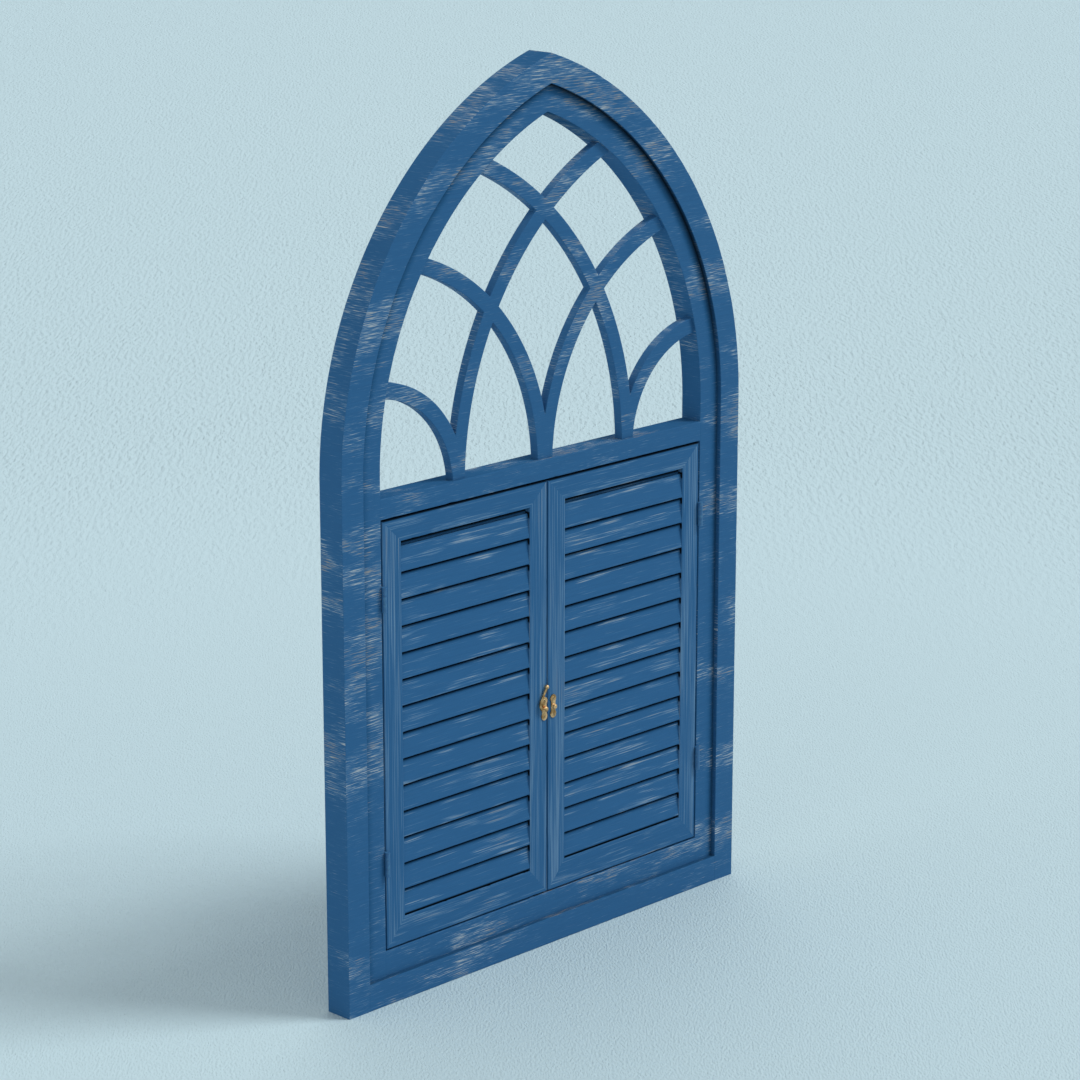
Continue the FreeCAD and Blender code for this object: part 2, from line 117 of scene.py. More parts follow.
def rounded_ring(corners):
    """Profile as (across, depth) points round a polygon with rounded corners.

    Each corner is (across, depth, softness, is it a front arris, side that follows), and
    its points are centre + softness * (cos, sin) over a quarter circle. Flat points follow
    close to each arris and on to the middle. Returns the points, the side of each strip (0
    front, 1 outer, 2 back, 3 inner), how near each point is to a front arris, from 1 on it
    to 0 at the reach of the wear, the corner that each point is rounded about (-1 none), and
    the corners' own places.
    """
    points, labels, worn, owner = [], [], [], []
    count = len(corners)
    quarter = np.linspace(0, math.pi / 2, CORNER_STEPS)[:, None]
    for k, (_, _, soft, is_front, side) in enumerate(corners):
        before, corner, after = (np.array(corners[(k + step) % count][:2])
                                 for step in (-1, 0, 1))
        arriving = (corner - before) / np.linalg.norm(corner - before)
        length = np.linalg.norm(after - corner)
        leaving = (after - corner) / length
        centre = corner - arriving * soft + leaving * soft
        points.append(centre + soft * (arriving * np.sin(quarter) - leaving * np.cos(quarter)))
        next_soft, next_front = corners[(k + 1) % count][2:4]
        free = length - soft - next_soft
        near = min(WEAR_REACH, free * 0.45)
        flat_at = soft + np.array([near * 0.3, near, free * 0.5, free - near, free - near * 0.3])
        points.append(corner + leaving * flat_at[:, None])
        labels += [corners[k - 1][4]] * 2 + [side] * (CORNER_STEPS - 2 + len(flat_at))
        from_here = is_front * np.clip(1 - (flat_at - soft) / WEAR_REACH, 0, 1)
        to_next = next_front * np.clip(1 - (soft + free - flat_at) / WEAR_REACH, 0, 1)
        worn += [float(is_front)] * CORNER_STEPS + list(np.maximum(from_here, to_next))
        owner += [k] * CORNER_STEPS + [-1] * len(flat_at)
    places = np.array([corner[:2] for corner in corners])
    return (np.concatenate(points), np.array(labels), np.array(worn), np.array(owner), places)


def timber_ring(inner, outer, y_front, y_back, soft=SOFT, soft_outer=None):
    """A rectangle's ring: both front corners are arrises that wear."""
    return rounded_ring([(inner, y_front, soft, 1, 0), (outer, y_front, soft_outer or soft, 1, 1),
                         (outer, y_back, SOFT_BACK, 0, 2), (inner, y_back, SOFT_BACK, 0, 3)])


print("profile points:", len(timber_ring(frame_inner, frame_outer, face, back)[0]))


# %% [markdown]
# ## From arrays to a mesh
# The grid of points is wrapped into quads all at once. Each end is closed with one flat
# face. Values ride along on the points for the paint: how near they are to an arris, how
# high they are on a slat, and how much painted shade darkens them. The map of each face
# is in metres, its first direction along the brush strokes, so a pattern has one size on
# every piece.


# %% Wrap a grid
def grid_faces(rows, columns):
    """Quads of a grid closed round its columns: (i, j), (i, j + 1), (i + 1, j + 1), (i + 1, j)."""
    i, j = np.meshgrid(np.arange(rows - 1), np.arange(columns), indexing="ij")
    across = (j + 1) % columns
    quads = np.stack([i * columns + j, i * columns + across,
                      (i + 1) * columns + across, (i + 1) * columns + j], axis=-1)
    return quads.reshape(-1, 4)


def signed_volume(points, quads):
    """Sum of the signed tetrahedra under each quad's two triangles; above 0 points outwards."""
    a, b, c, d = (points[quads[:, k]] for k in range(4))
    return float((np.cross(b, c) * a).sum() + (np.cross(c, d) * a).sum()) / 6


def put(name, data):
    """Put a mesh, a lamp or a camera in the scene."""
    thing = bpy.data.objects.new(name, data)
    bpy.context.scene.collection.objects.link(thing)
    return thing


def make_mesh(name, points, faces, uv, values, material, smooth_angle=35):
    """A mesh object from arrays: points, faces, one map place per face corner, point values."""
    mesh = bpy.data.meshes.new(name)
    mesh.from_pydata(points.tolist(), [], faces)
    layer = mesh.uv_layers.new(name="strokes")
    layer.data.foreach_set("uv", np.asarray(uv, np.float32).ravel())
    for key, value in values.items():
        attribute = mesh.attributes.new(key, "FLOAT", "POINT")
        attribute.data.foreach_set("value", np.asarray(value, np.float32))
    mesh.polygons.foreach_set("use_smooth", np.ones(len(faces), bool))
    mesh.set_sharp_from_angle(angle=math.radians(smooth_angle))
    mesh.materials.append(material)
    mesh.validate()
    return put(name, mesh)


# %% [markdown]
# ## The wear in the arrises
# Handled timber is never quite straight: its front arrises carry small dents. Each piece
# gets its own seeded set, as a sum of soft bumps along the path that push the arris inwards
# by a few tenths of a millimetre.


# %% Build one timber
DENT_WIDTHS = (1.2 * MM, 5.0 * MM)
DENT_EVERY = 26 * MM     # one dent for each such length of arris
JOINT_GAP = 0.4 * MM     # the rows stand this far off the edge of a joint, on both sides
SQUARED = 0.04           # what is left of a corner's softness where a timber meets it flush


def dents(length_along, count, rng, deepest):
    """Depth of the dents at each place along a path: a sum of bumps, each exp(-(d / w)^2)."""
    places = rng.uniform(0, length_along.max(), count)
    widths = rng.uniform(*DENT_WIDTHS, count)
    depths = rng.uniform(0.15, 1.0, count) ** 2 * deepest
    steps = (length_along[:, None] - places[None, :]) / widths[None, :]
    return (depths[None, :] * np.exp(-steps ** 2)).sum(axis=1)


def stations(length, step, squared):
    """Places along a piece from 0 to 1: even steps, and close pairs where a joint begins."""
    even = np.linspace(0, 1, max(3, int(round(length / step)) + 1))
    pairs = [(value + off) / length for joint in squared for value in joint
             for off in (-JOINT_GAP, JOINT_GAP)]
    kept = [t for t in even if all(abs(t - pair) > 0.7 * MM / length for pair in pairs)]
    return np.array(sorted(kept + [pair for pair in pairs if 0.0001 < pair < 0.9999]))


def timber(node, body, ring, start, end, length, place, strokes, material, seed,
           step=3.0 * MM, deepest=0.3 * MM, extra=None, squared=(), painted_shade=None, name=None):
    """One timber: its ring carried from start to end.

    start and end are functions of the distance across that give the path's value there;
    place turns (across, depth, path value) into x, y, z; strokes gives the map of the front
    and back faces and that of the sides. Points near an arris move inwards by the dents.
    squared lists (from, to) along the piece where its first corner is left square, because
    another timber meets it flush there. extra(across) says how high a point is on a slat, and
    the shade function, given (across, depth, path), how much painted shade darkens the
    surface, both from 0 to 1.
    """
    points2, labels, worn, owner, corner_places = ring
    t = stations(length, step, squared)[:, None]
    rows = len(t)
    t[0, 0], t[-1, 0] = 0.0, 1.0
    softness = np.ones((rows, len(points2)))
    for low, high in squared:
        inside = (t * length > low - 0.1 * MM) & (t * length < high + 0.1 * MM)
        softness = np.where(inside & (owner == 0), SQUARED, softness)
    anchor = np.where((owner >= 0)[:, None], corner_places[owner], points2)
    section = anchor + (points2 - anchor) * softness[:, :, None]
    across = section[:, :, 0]
    path = start(across) + t * (end(across) - start(across))
    rng = np.random.default_rng(seed)
    middle = np.array([points2[:, 0].mean(), points2[:, 1].mean()])
    inward = middle - points2
    inward /= np.linalg.norm(inward, axis=1)[:, None]
    count = max(2, int(length / DENT_EVERY))
    low_side, high_side = (dents(t[:, 0] * length, count, rng, deepest)[:, None]
                           for _ in range(2))
    is_high = points2[:, 0] > middle[0]
    push = np.where(is_high, high_side, low_side) * worn ** 3 * (softness > 0.5)
    across, depth = np.moveaxis(section + inward * push[:, :, None], 2, 0)
    xyz = place(across, depth, path)
    points = np.stack(np.broadcast_arrays(*xyz), axis=-1).reshape(-1, 3)
    columns = len(points2)
    quads = grid_faces(rows, columns)
    flat_map, side_map = (np.stack(np.broadcast_arrays(*pair), axis=-1).reshape(-1, 2)
                          for pair in strokes(across, depth, path, *xyz))
    is_side = np.tile(labels % 2 == 1, rows - 1)
    last = (rows - 1) * columns
    caps = [np.arange(columns)[::-1], last + np.arange(columns)]
    if signed_volume(points, quads) < 0:
        quads = quads[:, ::-1]
        caps = [cap[::-1] for cap in caps]
    uv = np.where(is_side[:, None, None], side_map[quads], flat_map[quads]).reshape(-1, 2)
    uv = np.concatenate([uv] + [side_map[cap] for cap in caps])
    values = {"arris": np.tile(worn, rows)}
    if extra is not None:
        values["up"] = extra(across).reshape(-1)
    if painted_shade is not None:
        values["painted_shade"] = painted_shade(across, depth, path).reshape(-1)
    faces = quads.tolist() + [cap.tolist() for cap in caps]
    piece = make_mesh(name or node + "_timber", points, faces, uv, values, material)
    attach(piece, body)
    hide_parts(node)
    return piece


# %% [markdown]
# ## Colours
# Paint charts and screens give colours as sRGB hex, but light is reckoned linearly. One
# function turns one into the other, with the sRGB curve.


# %% Colour and node helpers
def linear(code):
    """sRGB hex to linear colour: ((c + 0.055) / 1.055) ^ 2.4, or c / 12.92 when dark."""
    parts = [int(code[k:k + 2], 16) / 255 for k in (1, 3, 5)]
    curved = [((c + 0.055) / 1.055) ** 2.4 if c > 0.04045 else c / 12.92 for c in parts]
    return (*curved, 1.0)


def node_adder(tree):
    """The one function that adds shader nodes, made for this tree.

    It sets a node up, fills or links its inputs, which are values or sockets in their order
    or by name or number, and gives back one output, or with out=None the node itself.
    """
    def add(kind, inputs=(), out=0, **settings):
        node = tree.nodes.new("ShaderNode" + kind)
        for key, value in settings.items():
            setattr(node, key, value)
        for key, value in inputs.items() if isinstance(inputs, dict) else enumerate(inputs):
            if isinstance(value, bpy.types.NodeSocket):
                tree.links.new(value, node.inputs[key])
            else:
                node.inputs[key].default_value = value
        return node if out is None else node.outputs[out]
    return add


# Settings that many nodes share: sums, a map along an S curve, and a mix of two colours,
# whose share is input 0 and whose colours are 6 and 7.
PLUS, MINUS, TIMES, MAXIMUM = ({"operation": word} for word in
                               ("ADD", "SUBTRACT", "MULTIPLY", "MAXIMUM"))
CURVE = {"interpolation_type": "SMOOTHSTEP"}
COLOURS = {"data_type": "RGBA", "out": 2}


def new_material(name):
    """A material with an empty node tree, and the function that adds to it."""
    material = bpy.data.materials.new(name)
    material.use_nodes = True
    material.node_tree.nodes.clear()
    return material, node_adder(material.node_tree)


def shade(add, inputs):
    """Close a material's tree with its shader and its output."""
    add("OutputMaterial", {"Surface": add("BsdfPrincipled", inputs)}, None)


def stretched_noise(add, source, long_mm, wide_mm, seed, detail=3.0, rough=0.55):
    """Noise whose grains are long_mm by wide_mm on a map in metres."""
    mapped = add("Mapping", {"Vector": source, "Location": (seed * 3.1, seed * 7.7, seed),
                             "Scale": (1000 / long_mm, 1000 / wide_mm, 1.0)})
    return add("TexNoise", {"Vector": mapped, "Scale": 1.0, "Detail": detail,
                            "Roughness": rough}, noise_dimensions="2D")


# %% [markdown]
# ## Blue paint, dry-brushed and rubbed through
# The real finish is eggshell acrylic paint on pine, brushed on and rubbed back while dry.
# It has three parts: an even blue with barely darker brush lines; patches where the pad
# cut through and left short pale streaks of bare wood along the stroke; and a paler veil
# round each patch, where the paint is half gone. Streaks are noise stretched along the
# stroke, let through by a much larger noise that says where the patches are. Painted shade,
# a near-black mixed in by a value carried on the points, darkens steps, grooves and upward
# faces. The gloss is low, lower still on bare wood, and gone where the painted shade lies.

# %% The paint
PAINT, PAINT_DEEP, VEIL = "#306593", "#2e618e", "#6c92b2"      # full, in brush lines, half gone
BARE, RUBBED, TAN = "#bec4c4", "#88a6bf", "#a79b89"            # wood, stained wood, aged wood
# The near-black mixed in as painted shade.
SHADE_COLOUR = "#0f1820"


def ridge(add, value, low, middle, high):
    """1 at the middle, falling to 0 at low and high."""
    rising = add("MapRange", (value, low, middle), **CURVE)
    falling = add("MapRange", (value, middle, high, 1.0, 0.0), **CURVE)
    return add("Math", (rising, falling), **TIMES)


def worn_paint(name, kind, streak_mm, patch_mm, patch_level, streak_level, veil, bare, seed,
               lift, wood):
    """Eggshell acrylic paint on pine, brushed and rubbed through along the stroke.

    streak_mm and patch_mm are (long, wide) sizes. Real scratches of 0.3 mm are too fine to
    show, so a streak is about 1 mm wide. patch_level is the noise level at which a patch
    starts, streak_level the same for a streak inside it, and lift is how far a patch raises
    the streaks. veil and bare say how much the half-gone paint and the wood show. The frame
    is worn most near its top, and its patches fade out wide. A leaf's members also have a
    worn line a few millimetres in from their arrises, and a slat a worn band near its top,
    which is also a painted highlight. Painted shade, carried on the points, darkens the
    colour towards near-black and takes the gloss away.
    """
    material, add = new_material(name)
    source = add("UVMap", uv_map="strokes")
    # How much painted shade each point carries.
    painted_shade = add("Attribute", out="Fac", attribute_name="painted_shade")
    patch = stretched_noise(add, source, *patch_mm, seed, detail=2.0)
    fade_out, warm_from, warm_full = (0.15, 0.55, 0.7)
    if kind == "frame":
        fade_out, warm_from, warm_full = (0.26, 0.47, 0.6)
        up = add("SeparateXYZ", (add("TexCoord", out="Object"),), "Z")
        near_top = add("MapRange", (up, 0.70, 0.95, 0.0, 0.06), **CURVE)
        patch = add("Math", (patch, near_top), **PLUS)
    patch = add("MapRange", (patch, patch_level, patch_level + fade_out), **CURVE)
    streak = stretched_noise(add, source, *streak_mm, seed + 1.3, detail=3.0, rough=0.5)
    fine = stretched_noise(add, source, streak_mm[0] * 0.4, streak_mm[1] * 0.6, seed + 2.9)
    streaks, raised = (add("Math", pair, **TIMES) for pair in ((streak, 0.7), (patch, lift)))
    streaks = add("Math", (streaks, add("Math", (fine, 0.3), **TIMES)), **PLUS)
    lifted = add("Math", (streaks, raised), **PLUS)
    fade = stretched_noise(add, source, 75, 30, seed + 9.0, detail=1.0)
    fade = add("MapRange", (fade, 0.4, 0.66), **CURVE)
    # A worn band near a slat's top, lightened as a painted highlight.
    if kind == "slat":
        high_up = add("Attribute", out="Fac", attribute_name="up")
        band = add("Math", (ridge(add, high_up, 0.64, 0.83, 0.94), fade), **TIMES)
        band = add("Math", (band, 0.17), **TIMES)
        lifted = add("Math", (lifted, band), **PLUS)
    rubbed = add("MapRange", (lifted, streak_level + 0.05, streak_level + 0.20), **CURVE)
    veiled = add("MapRange", (lifted, streak_level - 0.06, streak_level + 0.10), **CURVE)
    brush = stretched_noise(add, source, 60, 0.9, seed + 5.1)
    lines = add("MapRange", (brush, 0.35, 0.68), **CURVE)
    tone = add("Mix", {0: lines, 6: linear(PAINT_DEEP), 7: linear(PAINT)}, **COLOURS)
    thin = add("Math", (veiled, veil), **TIMES)
    tone = add("Mix", {0: thin, 6: tone, 7: linear(VEIL)}, **COLOURS)
    if kind == "leaf":
        arris = add("Attribute", out="Fac", attribute_name="arris")
        line = add("Math", (ridge(add, arris, 0.24, 0.40, 0.54), fade), **TIMES)
        line = add("Math", (line, 0.6), **TIMES)
        tone = add("Mix", {0: line, 6: tone, 7: linear(VEIL)}, **COLOURS)
    aged = stretched_noise(add, source, 90, 30, seed + 7.7, detail=1.0)
    aged = add("MapRange", (aged, warm_from, warm_full), **CURVE)
    wood = add("Mix", {0: aged, 6: linear(wood), 7: linear(TAN)}, **COLOURS)
    shown = add("Math", (rubbed, bare), **TIMES)
    colour = add("Mix", {0: shown, 6: tone, 7: wood}, **COLOURS)
    # Painted shade: the colour goes towards near-black by that amount.
    shaded = add("MapRange", (painted_shade,), **CURVE)
    colour = add("Mix", {0: shaded, 6: colour, 7: linear(SHADE_COLOUR)}, **COLOURS)
    relief = add("Math", (brush, 0.5), **TIMES)
    relief = add("Math", (relief, rubbed), **MINUS)
    # The gloss goes where painted shade lies.
    shade(add, {
        "Base Color": colour, "IOR": 1.46,
        "Roughness": add("MapRange", (rubbed, 0.0, 1.0, 0.62, 0.82), **CURVE),
        "Specular IOR Level": add("MapRange", (painted_shade, 0.0, 0.28, 0.12, 0.0), **CURVE),
        "Normal": add("Bump", {"Strength": 0.3, "Distance": 0.1 * MM, "Height": relief})})
    return material


# Each paint's values, in the order of worn_paint.
PAINTS = {"frame": ("frame", (24, 1.0), (150, 50), 0.43, 0.645, 0.5, 0.85, 2.0, 0.175, BARE),
          "stiles": ("leaf", (190, 0.9), (260, 16), 0.46, 0.575, 0.68, 0.6, 11.0, 0.08, RUBBED),
          "rails": ("leaf", (50, 1.0), (120, 14), 0.48, 0.64, 0.5, 0.5, 21.0, 0.14, RUBBED),
          "slats": ("slat", (60, 1.3), (130, 16), 0.52, 0.655, 0.5, 0.5, 31.0, 0.15, BARE)}
paints = {use: worn_paint("eggshell_paint_rubbed_" + use, *values)
          for use, values in PAINTS.items()}
print("paints:", sorted(paints))


# %% [markdown]
# ## Casing and inner frame
# The raised casing and the inner frame behind it are each a sill, two jambs and two arch
# halves. A straight piece is carried along X or Z. An arch half is carried by angle round
# its centre, from level up to the middle plane, which a point at radius r meets at the angle
# acos(centre / r): a plumb cut, as the real joint at the apex has.


# %% Straight and arched members
# How much painted shade lies where, from 0 to 1. Of a pair, the second number is what the arch
# adds.
INNER_SIDE, STEP_FOOT = (0.16, 0.34), (0.22, 0.18)
STEP_FACE, FRAME_SIDE = (0.5, 0.3), (0.16, 0.38)
UPWARD_SHADE, SILL_TOP_SHADE = 0.28, 0.45
EDGE = 0.6 * MM          # a side's own points lie this near to its place
STEP_REACH = 10 * MM     # the painted shade of the step spreads this far over the inner frame
ABUTTING = 0.15 * MM     # softness of the inner frame's corner that meets the casing


def constant(value):
    """The same path value all across."""
    return lambda across: value + 0 * across


def level_place(side=1):
    """Across is up and the path runs along X, from the middle to this side."""
    return lambda across, depth, path: (side * path, depth, across)


def box_strokes(across, depth, path, x, y, z):
    """Strokes along X in front and along the depth on upright sides, as one pad went over."""
    return (x, z), (y, z)


def level_strokes(across, depth, path, x, y, z):
    """Strokes along X on every face of a level piece."""
    return (x, z), (x, y + 0.5)


def upright_place(side):
    """Across is the distance from the middle and the path runs up."""
    return lambda across, depth, path: (side * across, depth, path)


def arc_place(side, centre_x, centre_z, way=1):
    """Across is the radius, the path the angle from level; way -1 starts on the near side."""
    def place(across, depth, path):
        return (side * (centre_x + way * across * np.cos(path)), depth,
                centre_z + across * np.sin(path))
    return place


def plumb(across):
    """Angle at which a point at this radius meets the middle plane."""
    return np.arccos(arch_centre / across)


def arch_strokes(across, depth, path, x, y, z):
    """The same strokes as on the jambs, the sides measured round the arc."""
    return (x, z), (y, spring + path * 0.4)


def near(value, place, reach):
    """1 at a place, falling to 0 at the reach on both sides of it."""
    return np.clip(1 - abs(value - place) / reach, 0, 1)


def grown(pair, share):
    """A pair's first number, and its second by a share."""
    return pair[0] + pair[1] * share


def member_shade(kind, inner, outer, y_front, arched):
    """Painted shade in the step of casing and inner frame, and thinly on inner sides.

    The casing's inner side darkens towards the step's foot, and painted shade also darkens
    the arch where it faces up. On the inner frame the shade fades out over 10 mm from the
    casing. It grows over the first 25 degrees of the arch, and on the frame's inner side over
    the last quarter of the way to the apex.
    """
    apex = float(plumb(np.array(inner))) if arched else 1.0

    # The painted shade at each point of the member.
    def painted_shade(across, depth, path):
        up = np.clip(path / math.radians(25), 0, 1) * arched
        on_side = near(across, inner, EDGE)
        if kind == "casing":
            foot = np.clip((depth - y_front) / (face - front), 0, 1)
            on_top = near(across, outer, EDGE) * np.sin(path) ** 2 * arched
            beside = grown(INNER_SIDE, up) + grown(STEP_FOOT, up) * foot
            return np.maximum(on_side * beside, UPWARD_SHADE * on_top)
        in_step = near(across, outer, STEP_REACH) * near(depth, y_front, MM)
        crown = np.clip(4 * path / apex - 3, 0, 1) * arched
        return np.maximum(grown(STEP_FACE, up) * in_step, grown(FRAME_SIDE, crown) * on_side)
    return painted_shade


def top_shade(high, amount):
    """Painted shade on the top side of a level piece."""
    return lambda across, depth, path: amount * near(across, high, EDGE)


SIDES = {"left": -1, "right": 1}
# Each band: inner and outer half width, front, foot and top of its sill, softness of the
# outer corner, painted shade on the sill's top.
bands = {"casing": (frame_outer, half_width, front, 0.0, sill_low, SOFT, SILL_TOP_SHADE),
         "frame": (frame_inner, frame_outer, face, sill_low, sill_high, ABUTTING, 0.0)}
count = 0
for kind, (inner, outer, y_front, low, high, soft_outer, shade_amount) in bands.items():
    meets = [(low, high)] + ([(transom_low, transom_high)] if kind == "frame" else [])
    for side_name, side in SIDES.items():
        count += 2
        timber(f"{kind}_{side_name}_jamb", "frame",
               timber_ring(inner, outer, y_front, back, soft_outer=soft_outer),
               constant(low), constant(spring), spring - low,
               upright_place(side), box_strokes, paints["frame"], 10 + count,
               squared=[(start - low, end - low) for start, end in meets],
               painted_shade=member_shade(kind, inner, outer, y_front, False))
        arch_inner, arch_outer = inner + arch_centre, outer + arch_centre
        timber(f"{kind}_{side_name}_arch", "frame",
               timber_ring(arch_inner, arch_outer, y_front, back, soft_outer=soft_outer),
               constant(0.0), plumb, arch_outer * float(plumb(np.array(arch_outer))),
               arc_place(side, -arch_centre, spring), arch_strokes, paints["frame"], 30 + count,
               painted_shade=member_shade(kind, arch_inner, arch_outer, y_front, True))
    timber(f"{kind}_sill", "frame", timber_ring(high, low, y_front, back, soft_outer=soft_outer),
           constant(-inner), constant(inner), 2 * inner,
           level_place(), level_strokes, paints["frame"], 60 + count, painted_shade=top_shade(high, shade_amount))
timber("frame_transom", "frame", timber_ring(transom_low, transom_high, face, back),
       constant(-frame_inner), constant(frame_inner), 2 * frame_inner,
       level_place(), level_strokes, paints["frame"], 71,
       painted_shade=top_shade(transom_high, UPWARD_SHADE), name="transom_timber")
print("casing and frame timbers:", count + 3)


# %% [markdown]
# ## Tracery
# Six curved bars of one width spring from three feet and cross each other. All are struck
# from one level line, so each is an arc by angle: it starts where it meets the transom and
# ends where it meets the arch. For an arc of radius r about (a, b) and an opening of radius
# R about (c, d), the meeting angle follows from the triangle between the two centres. The
# bars are then joined with an exact Boolean union, because a crossing is one flat joint.

# %% Tracery bars
BAR = 17.2 * MM          # width of a bar
STRIKE_DROP = 30.0 * MM  # the arcs' centres lie this far below the springing
SIDE_FOOT = 127.5 * MM   # from the middle to a side foot
MIDDLE_SPREAD = 2.4 * MM
LONG_RADIUS, MIDDLE_RADIUS, SHORT_RADIUS = 363.0 * MM, 252.0 * MM, 120.0 * MM
HOUSED = 1.5 * MM        # each bar's ends run this far into the frame
strike = spring - STRIKE_DROP
opening_radius = frame_inner + arch_centre


def bar_start(across):
    """Angle at which the arc meets the transom's top: asin(height over the line / radius)."""
    return np.arcsin((transom_high - HOUSED - strike) / across)


def bar_end(start_x, radius):
    """Angle at which a bar's points meet the opening.

    A bar starts start_x from the middle on its own side and bends that way. With D the line
    from the bar's centre to the opening's centre, d its length and g its angle, a point at
    radius r meets the opening of radius R at g + acos((r^2 + d^2 - R^2) / (2 r d)).
    """
    run, lift = arch_centre + start_x + radius, spring - strike
    distance, direction = math.hypot(run, lift), math.atan2(lift, run)
    reach = opening_radius + HOUSED

    def end(across):
        cosine = (across ** 2 + distance ** 2 - reach ** 2) / (2 * across * distance)
        return direction + np.arccos(cosine)
    return end


bar_kinds = {"long": (-SIDE_FOOT, LONG_RADIUS), "middle": (MIDDLE_SPREAD, MIDDLE_RADIUS),
             "short": (SIDE_FOOT, SHORT_RADIUS)}
bars = []
for side_name, side in SIDES.items():
    for kind, (start_x, radius) in bar_kinds.items():
        ring = timber_ring(radius - BAR / 2, radius + BAR / 2, tracery_front, tracery_back)
        end = bar_end(start_x, radius)
        bars.append(timber("tracery", "frame", ring, bar_start, end,
                           radius * float(end(np.array(radius))),
                           arc_place(side, start_x + radius, strike, -1), arch_strokes,
                           paints["frame"], 80, step=4 * MM, deepest=0.0,
                           name=f"{side_name}_{kind}_bar"))


def join_exactly(pieces, name, operation="UNION"):
    """Exact Boolean union of closed pieces, or the first less the others; the first keeps it."""
    keep, others = pieces[0], pieces[1:]
    group = bpy.data.collections.new(name + "_operands")
    for piece in others:
        group.objects.link(piece)
    union = keep.modifiers.new("union", "BOOLEAN")
    union.operation, union.solver = operation, "EXACT"
    union.operand_type, union.collection = "COLLECTION", group
    evaluated = keep.evaluated_get(bpy.context.evaluated_depsgraph_get())
    keep.data = joined = bpy.data.meshes.new_from_object(evaluated)
    keep.modifiers.clear()
    for piece in others:
        bpy.data.objects.remove(piece)
    bpy.data.collections.remove(group)
    keep.name = joined.name = name
    return keep


tracery = join_exactly(bars, "tracery_bars")
print("tracery:", len(tracery.data.polygons), "faces")

# %% [markdown]
# ## The leaves
# Each leaf is a mitred frame: two stiles and two rails whose ends are cut on a slant. Along
# a mitre the path's start is a straight line of the distance across, so its values at the
# long edge and at the short one give it. The strokes follow each member: up the stiles and
# along the rails.


# %% Leaf frames
def slanted(across_a, value_a, across_b, value_b):
    """Path value that goes in a straight line from value_a at across_a to value_b at across_b."""
    slope = (value_b - value_a) / (across_b - across_a)
    return lambda across: value_a + slope * (across - across_a)


def strokes_along(axis, offset):
    """Strokes along X (0) or Z (2) on every face; the offset gives each piece its own wear."""
    def strokes(across, depth, path, *xyz):
        return (xyz[axis] + offset, across), (xyz[axis] + offset, depth + 0.3)
    return strokes


PITCH = 28.8 * MM                # from slat to slat
NOTCH_FROM = 20.5 * MM           # the notch over a slat starts this far above its foot
NOTCH_FADE, NOTCH_BASE = 3 * MM, 0.06
LOUVRE_DEPTH = 7 * MM            # painted shade beside the slats lies this deep behind the front
first_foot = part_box("left_leaf_slat_01")[0][2]


def stile_shade(edge):
    """Painted shade on a stile's side by the slats, most in the notch over each slat."""
    def painted_shade(across, depth, path):
        rise = np.mod(path - first_foot, PITCH)
        notch = np.clip((rise - NOTCH_FROM) / NOTCH_FADE, 0, 1)
        beside = (depth > leaf_front + 0.4 * MM) & (depth < leaf_front + LOUVRE_DEPTH)
        return near(across, edge, 0.5 * MM) * beside * (NOTCH_BASE + (1 - NOTCH_BASE) * notch)
    return painted_shade


def rail_shade(edge):
    """Painted shade on a rail's side by the slats, and on the top rail's arris by the transom."""
    def painted_shade(across, depth, path):
        in_front = depth < leaf_front + LOUVRE_DEPTH
        beside = in_front & (depth > leaf_front + 0.9 * MM) & (abs(across - edge) < 0.4 * MM)
        above = np.clip((across - leaf_high + 1.1 * MM) / (0.7 * MM), 0, 0.85)
        return np.maximum(beside, above * in_front)
    return painted_shade


# Each member: its long edge, and its short edge beside the slats.
edges = {"hinge_stile": (leaf_outer, stile_inner), "meeting_stile": (leaf_inner, meeting_outer),
         "top_rail": (leaf_high, louvre_high), "bottom_rail": (leaf_low, louvre_low)}
# Each kind: where its path starts at the long and at the short edge, the same for its end,
# place, axis and offsets of the strokes, seed, step, painted shade.
kinds = {"stile": ((leaf_low, louvre_low), (leaf_high, louvre_high), upright_place,
                   2, (0.7, 1.7), 100, PITCH / 20, stile_shade),
         "rail": ((leaf_inner, meeting_outer), (leaf_outer, stile_inner), level_place,
                  0, (0.9, 2.3), 130, 3.0 * MM, rail_shade)}
for side_name, side in SIDES.items():
    for k, (part, (long, short)) in enumerate(edges.items()):
        kind = part.split("_")[1]
        starts, ends, place, axis, (by_part, by_side), seed, step, painted_shade = kinds[kind]
        timber(f"{side_name}_leaf_{part}", side_name + "_leaf",
               timber_ring(*sorted((long, short)), leaf_front, leaf_back, LEAF_SOFT),
               slanted(long, starts[0], short, starts[1]),
               slanted(long, ends[0], short, ends[1]), ends[0] - starts[0], place(side),
               strokes_along(axis, by_part * (k % 2) + by_side * side), paints[kind + "s"],
               seed + 10 * (k % 2) + side, step=step, painted_shade=painted_shade(short))
print("leaf members: 8")

# %% [markdown]
# ## Louvre slats
# The slats are thin, lean back a few degrees at the top, and leave a narrow groove between
# them that a tongue at the back of each one closes. Each is one profile carried along X,
# then leaned: a point at height u and depth d on the slat lies at z + u cos(lean) -
# d sin(lean), and y + u sin(lean) + d cos(lean). Their ends run a little into the stiles,
# as the real ones are housed there.

# %% Slats
SLAT_GAP = 2.1 * MM              # height of the groove between two slats
SLAT_THICK, LAP_CLEARANCE = 6.0 * MM, 0.3 * MM
LEAN = math.radians(7)
SHADE, TOP_SHADE = (0.88, 0.14), (1.02, 0.10)    # painted shade's start and fade, in slat heights
